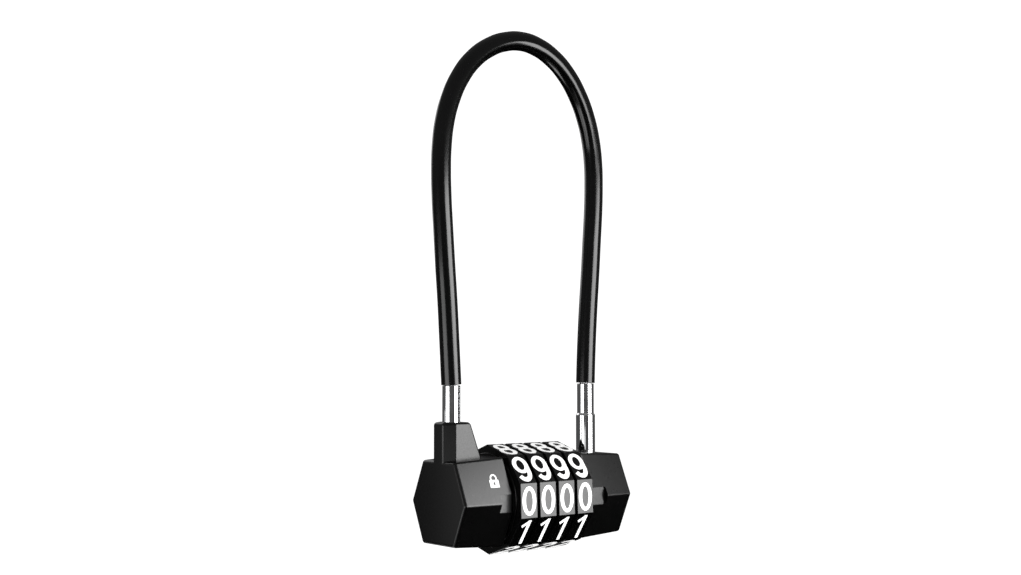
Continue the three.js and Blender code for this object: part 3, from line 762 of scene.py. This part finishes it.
def nine():
    bowl = ring(0, 1.75 * MM, DIGIT_HALF_WIDTH, 3.4 * MM)
    tail = [(SIDE, 1.9 * MM), *arc(0, -1.1 * MM, SIDE, TOP - 1.1 * MM, 0, -148)]
    return [bowl, stroke(tail)]


def half_turned(parts):
    """The parts turned upside down, for the six."""
    return [tuple(loop and [(-x, -z) for x, z in loop] for loop in part) for part in parts]


def digit_parts(digit):
    """The digit's strokes, centred on its facet."""
    if digit == 0:
        half_width, half_height = DIGIT_HALF_WIDTH * 0.93, DIGIT_HALF_HEIGHT * 0.98
        return [ring(0, 0, half_width, half_height, STROKE * 0.9, STROKE * 0.78)]
    if digit == 1:
        stem = 0.7 * MM
        width = STROKE * 0.74
        flag = stroke([(stem - 2.7 * MM, TOP - 1.75 * MM), (stem, TOP + 0.35 * MM)], width * 0.9)
        return [stroke([(stem, -DIGIT_HALF_HEIGHT), (stem, DIGIT_HALF_HEIGHT)], width), flag]
    if digit == 2:
        hook = arc(0, TOP - 2.4 * MM, SIDE, 2.4 * MM, 165, -35)
        return [stroke([*hook, (-SIDE, -TOP), (SIDE + STROKE / 2, -TOP)])]
    if digit == 3:
        upper = arc(-0.2 * MM, TOP - 2 * MM, SIDE * 0.92, 2 * MM, 150, -90)
        lower = arc(-0.2 * MM, TOP - 4 * MM - (TOP - 2 * MM), SIDE, TOP - 2 * MM, 90, -150)
        return [stroke(upper), stroke(lower)]
    if digit == 4:
        upright = stroke([(1.1 * MM, -DIGIT_HALF_HEIGHT), (1.1 * MM, DIGIT_HALF_HEIGHT)])
        bar = -2 * MM
        slope = [(0.9 * MM, TOP + 0.4 * MM), (-SIDE, bar), (SIDE + STROKE / 2, bar)]
        return [upright, stroke(slope, STROKE * 0.95)]
    if digit == 5:
        bowl = arc(-0.15 * MM, -1.45 * MM, SIDE, TOP - 1.45 * MM, 118, -150)
        return [stroke([(SIDE, TOP), (-SIDE * 0.82, TOP), (-SIDE * 0.98, 0.35 * MM), *bowl])]
    if digit == 6:
        return half_turned(nine())
    if digit == 7:
        return [stroke([(-DIGIT_HALF_WIDTH, TOP), (SIDE, TOP), (-0.9 * MM, -DIGIT_HALF_HEIGHT)])]
    if digit == 8:
        upper = ring(0, 2.25 * MM, DIGIT_HALF_WIDTH * 0.92, DIGIT_HALF_HEIGHT - 2.25 * MM)
        lower = ring(0, -1.95 * MM, DIGIT_HALF_WIDTH, DIGIT_HALF_HEIGHT - 1.95 * MM)
        return [upper, lower]
    return nine()


def anticlockwise(loop):
    """loop in anticlockwise order, which the triangulation needs."""
    twice_area = sum(a[0] * b[1] - b[0] * a[1] for a, b in zip(loop, loop[1:] + loop[:1]))
    return loop if twice_area > 0 else loop[::-1]


def merged_triangles(parts):
    """The parts' union in the plane, as (points, triangles)."""
    points, loops, owners = [], [], []
    for part, (outline, hole) in enumerate(parts):
        for loop, inside in ((outline, True), (hole, False)):
            if loop:
                loops.append(list(range(len(points), len(points) + len(loop))))
                points.extend(Vector(point) / MM for point in anticlockwise(loop))
                owners.append((part, inside))
    found = delaunay_2d_cdt(points, [], loops, 1, 1e-5)
    kept = []
    for triangle, origins in zip(found[2], found[5]):
        filled = {owners[loop][0] for loop in origins if owners[loop][1]}
        holed = {owners[loop][0] for loop in origins if not owners[loop][1]}
        if filled - holed:
            kept.append(triangle)
    return [point * MM for point in found[0]], kept


def add_flat_print(grid, parts, place):
    """Adds a thin raised print of the parts to grid; place maps (x, height, outward) to 3-D."""
    points, triangles = merged_triangles(parts)
    used = sorted({corner for triangle in triangles for corner in triangle})
    layers = []
    for outward in (-PAINT_SUNK, PAINT_PROUD):
        layers.append({i: grid.verts.new(place(points[i].x, points[i].y, outward)) for i in used})
    edges = {}
    for triangle in triangles:
        for layer in layers:
            grid.faces.new([layer[i] for i in triangle])
        for a, b in zip(triangle, triangle[1:] + triangle[:1]):
            edges.setdefault(frozenset((a, b)), []).append((a, b))
    for sides in edges.values():
        if len(sides) == 1:
            a, b = sides[0]
            grid.faces.new((layers[0][a], layers[0][b], layers[1][b], layers[1][a]))


def make_digits(name, material):
    low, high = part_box(name)
    x = (low.x + high.x) / 2
    grid = bmesh.new()
    for digit in range(DIGITS):
        turn = Matrix.Rotation(2 * math.pi * digit / DIGITS + FACET_TURN, 3, "X")

        def place(across, height, outward, turn=turn):
            spot = turn @ Vector((across, -DIAL_APOTHEM - outward, height))
            return x + spot.x, spot.y, AXIS_Z + spot.z

        add_flat_print(grid, digit_parts(digit), place)
    piece = mesh_from(f"{name}_digits", grid)
    return finish_piece(piece, f"dial_set_{name[-1]}", material, "digit_white")


MARK_X = -24.5 * MM
MARK_HALF_WIDTH = 1.9 * MM
MARK_BODY_HEIGHTS = (-2.2 * MM, 0.6 * MM)
MARK_KEYHOLE = (0, -0.75 * MM, 0.45 * MM, 0.6 * MM)  # middle, half width and half height
MARK_BOW_RADII = (1.15 * MM, 1.2 * MM)
MARK_BOW_FOOT = 0.4 * MM
MARK_BOW_WIDTH = 0.55 * MM


def make_padlock_mark(material):
    """A plain padlock sign on the left housing's upper front face."""
    growth = growth_at(MARK_X)
    face_y = (HEX_VERTEX_Y + HEX_FLAT_HALF_Y) / 2
    tilt = math.atan2(HEX_VERTEX_Y - HEX_FLAT_HALF_Y, HEX_HALF_HEIGHT)
    flare = math.atan2(HOUSING_GROWTH * face_y, HOUSING_OUTER_X - HOUSING_INNER_X)
    turn = Matrix.Rotation(-flare, 3, "Z") @ Matrix.Rotation(-tilt, 3, "X")
    middle = Vector((MARK_X, -growth * face_y, AXIS_Z + growth * HEX_HALF_HEIGHT / 2))

    def place(across, height, outward):
        return middle + turn @ Vector((across, -outward, height))

    bottom, top = MARK_BODY_HEIGHTS
    body = [
        (-MARK_HALF_WIDTH, bottom), (MARK_HALF_WIDTH, bottom),
        (MARK_HALF_WIDTH, top), (-MARK_HALF_WIDTH, top),
    ]
    keyhole = arc(*MARK_KEYHOLE, 0, 360, 24)[:-1]
    bow_half_width, bow_height = MARK_BOW_RADII
    crown = arc(0, bow_height, bow_half_width, bow_height, 180, 0)
    bow = [(-bow_half_width, MARK_BOW_FOOT), *crown, (bow_half_width, MARK_BOW_FOOT)]
    grid = bmesh.new()
    add_flat_print(grid, [(body, keyhole), stroke(bow, MARK_BOW_WIDTH)], place)
    return finish_piece(mesh_from("padlock_mark", grid), "lock_frame", material, "digit_white")


# ---- Light and floor ----

FLOOR_DROP = 60 * MM  # the floor's distance below the dials
FLOOR_HALF_SIDE = 20

# Each light's name, place in mm from the dials' middle, azimuth and elevation in degrees, size in mm
# and radiance. Azimuth goes from -Y towards +X.
SOFTBOXES = [
    ("key_softbox", (90.5, -239.5, 41), 46, 28, (220, 223), 7.9),
    ("left_softbox", (-410, -44, -38), -95, -40, (341, 242), 3.2),
    ("low_softbox", (-90, 150, -280), -150, -62, (180, 180), 4),
    ("back_softbox", (0, 330, 190), 180, 30, (300, 200), 1.2),
    ("tower_card", (-133, -115, 0), -40, -4, (90, 30), 0.8),
    ("end_card", (-87, 31, 0), -143, 0, (34, 60), 0.3),
]

# How bright the room is in reflections: the direction's height, from 0 straight down to 1 straight up,
# and the brightness there.
REFLECTED_ROOM = [(0.38, 0.0), (0.45, 0.06), (0.62, 0.16)]
ROOM_BRIGHTNESS = 1.15


def add_softbox(name, place, azimuth, elevation, size, radiance):
    """A rectangular light at place whose back is turned towards azimuth and elevation."""
    turn, rise = math.radians(azimuth), math.radians(elevation)
    level = math.cos(rise)
    behind = Vector((math.sin(turn) * level, -math.cos(turn) * level, math.sin(rise)))
    data = bpy.data.lights.new(name, "AREA")
    data.shape = "RECTANGLE"
    data.size = size[0] * MM
    data.size_y = size[1] * MM
    data.energy = radiance * math.pi * data.size * data.size_y
    light = bpy.data.objects.new(name, data)
    light.location = Vector(place) * MM + Vector((0, 0, AXIS_Z))
    light.rotation_euler = (-behind).to_track_quat("-Z", "Y").to_euler()
    light.visible_camera = False
    bpy.context.scene.collection.objects.link(light)


def add_floor(material):
    dial_low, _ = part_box(DIAL_NAMES[0])
    grid = bmesh.new()
    height = dial_low.z - FLOOR_DROP
    corners = [(-1, -1), (1, -1), (1, 1), (-1, 1)]
    grid.faces.new([
        grid.verts.new((FLOOR_HALF_SIDE * a, FLOOR_HALF_SIDE * b, height)) for a, b in corners
    ])
    floor = mesh_from("floor", grid)
    floor.data.materials.append(material)
    floor.visible_glossy = False
    floor.visible_shadow = False


def add_world():
    """A white room: white to the eye, dim in reflections so that black gloss stays black."""
    world = bpy.data.worlds.new("white_room")
    bpy.context.scene.world = world
    world.use_nodes = True
    world.cycles.sampling_method = "NONE"
    nodes = world.node_tree.nodes
    links = world.node_tree.links
    nodes.clear()
    room = nodes.new("ShaderNodeBackground")
    room.inputs["Strength"].default_value = ROOM_BRIGHTNESS
    room.inputs["Color"].default_value = (1, 1, 1, 1)
    dim = nodes.new("ShaderNodeBackground")
    split = nodes.new("ShaderNodeSeparateXYZ")
    links.new(nodes.new("ShaderNodeTexCoord").outputs["Generated"], split.inputs[0])
    height = nodes.new("ShaderNodeMapRange")
    height.inputs["From Min"].default_value = -1
    links.new(split.outputs["Z"], height.inputs["Value"])
    ramp = nodes.new("ShaderNodeValToRGB")
    stops = ramp.color_ramp.elements
    while len(stops) < len(REFLECTED_ROOM):
        stops.new(0.5)
    for stop, (position, grey) in zip(stops, REFLECTED_ROOM):
        stop.position = position
        stop.color = (grey, grey, grey, 1)
    links.new(height.outputs["Result"], ramp.inputs["Fac"])
    links.new(ramp.outputs["Color"], dim.inputs["Color"])
    mix = nodes.new("ShaderNodeMixShader")
    links.new(nodes.new("ShaderNodeLightPath").outputs["Is Glossy Ray"], mix.inputs[0])
    links.new(room.outputs[0], mix.inputs[1])
    links.new(dim.outputs[0], mix.inputs[2])
    links.new(mix.outputs[0], nodes.new("ShaderNodeOutputWorld").inputs["Surface"])


def add_studio(floor):
    bpy.context.scene.view_settings.view_transform = "Standard"
    add_world()
    add_floor(floor)
    for softbox in SOFTBOXES:
        add_softbox(*softbox)


# ---- Inner pieces ----

SPRING_WIRE = 0.22 * MM  # the wire's radius
SPRING_RADIUS = 1.35 * MM
SPRING_TURNS = 4
POINTS_PER_TURN = 24


def make_return_spring(material):
    """The spring left of the spindle, which shortens as the latch moves left."""
    low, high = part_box("return_spring")
    data = bpy.data.curves.new("return_spring_wire", "CURVE")
    data.dimensions = "3D"
    data.bevel_depth = SPRING_WIRE
    data.bevel_resolution = 3
    data.use_fill_caps = True
    line = data.splines.new("POLY")
    steps = SPRING_TURNS * POINTS_PER_TURN
    line.points.add(steps)
    length = high.x - low.x
    for i, point in enumerate(line.points):
        turn = 2 * math.pi * i / POINTS_PER_TURN
        x = low.x + SPRING_WIRE + (length - 2 * SPRING_WIRE) * i / steps
        point.co = (x, SPRING_RADIUS * math.cos(turn), AXIS_Z + SPRING_RADIUS * math.sin(turn), 1)
    wire = bpy.data.objects.new("return_spring_wire", data)
    bpy.context.scene.collection.objects.link(wire)
    bpy.context.view_layer.update()
    coil = add_mesh("return_spring_coil", bpy.data.meshes.new_from_object(wire))
    bpy.data.objects.remove(wire)
    finish_piece(coil, "lock_frame", material, "spring_steel", "return_spring")
    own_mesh(coil)


# Each metal's slot: its darkest and lightest colour, its roughness and how its marks are stretched.
METALS = {
    "brass": ((0.52, 0.36, 0.13), (0.68, 0.5, 0.22), 0.3, (1, 1, 1)),
    "steel": ((0.42, 0.42, 0.43), (0.58, 0.58, 0.6), 0.3, (1, 20, 20)),
    "spring_steel": ((0.25, 0.25, 0.27), (0.4, 0.41, 0.43), 0.25, (1, 1, 1)),
    "wire_rope": ((0.4, 0.4, 0.41), (0.6, 0.6, 0.62), 0.4, (1, 1, 0.1)),
}


def finish_inner_pieces():
    """The inner pieces keep their CAD shape and get a finished metal; the return spring is remade."""
    metals = {slot: metal_material(slot, *looks) for slot, looks in METALS.items()}
    for part in frame["record"]["subparts"]:
        node = frame["nodes"][part["node"]]
        if part["material_slot"] in metals and not node.hide_render:
            node.data.materials.clear()
            node.data.materials.append(metals[part["material_slot"]])
    make_return_spring(metals["spring_steel"])


# ---- The lock ----

add_camera()
sheath = make_sheath(sheath_material())
chrome = chrome_material()
leg = make_long_leg(chrome)
plug = make_plug(chrome)
paint = paint_material()
make_left_housing(paint)
make_right_housing(paint)
dial_black = dial_material()
digit_white = digit_material()
for dial_name in DIAL_NAMES:
    make_dial(dial_name, dial_black)
    make_digits(dial_name, digit_white)
make_padlock_mark(digit_white)
finish_inner_pieces()
add_studio(floor_material())
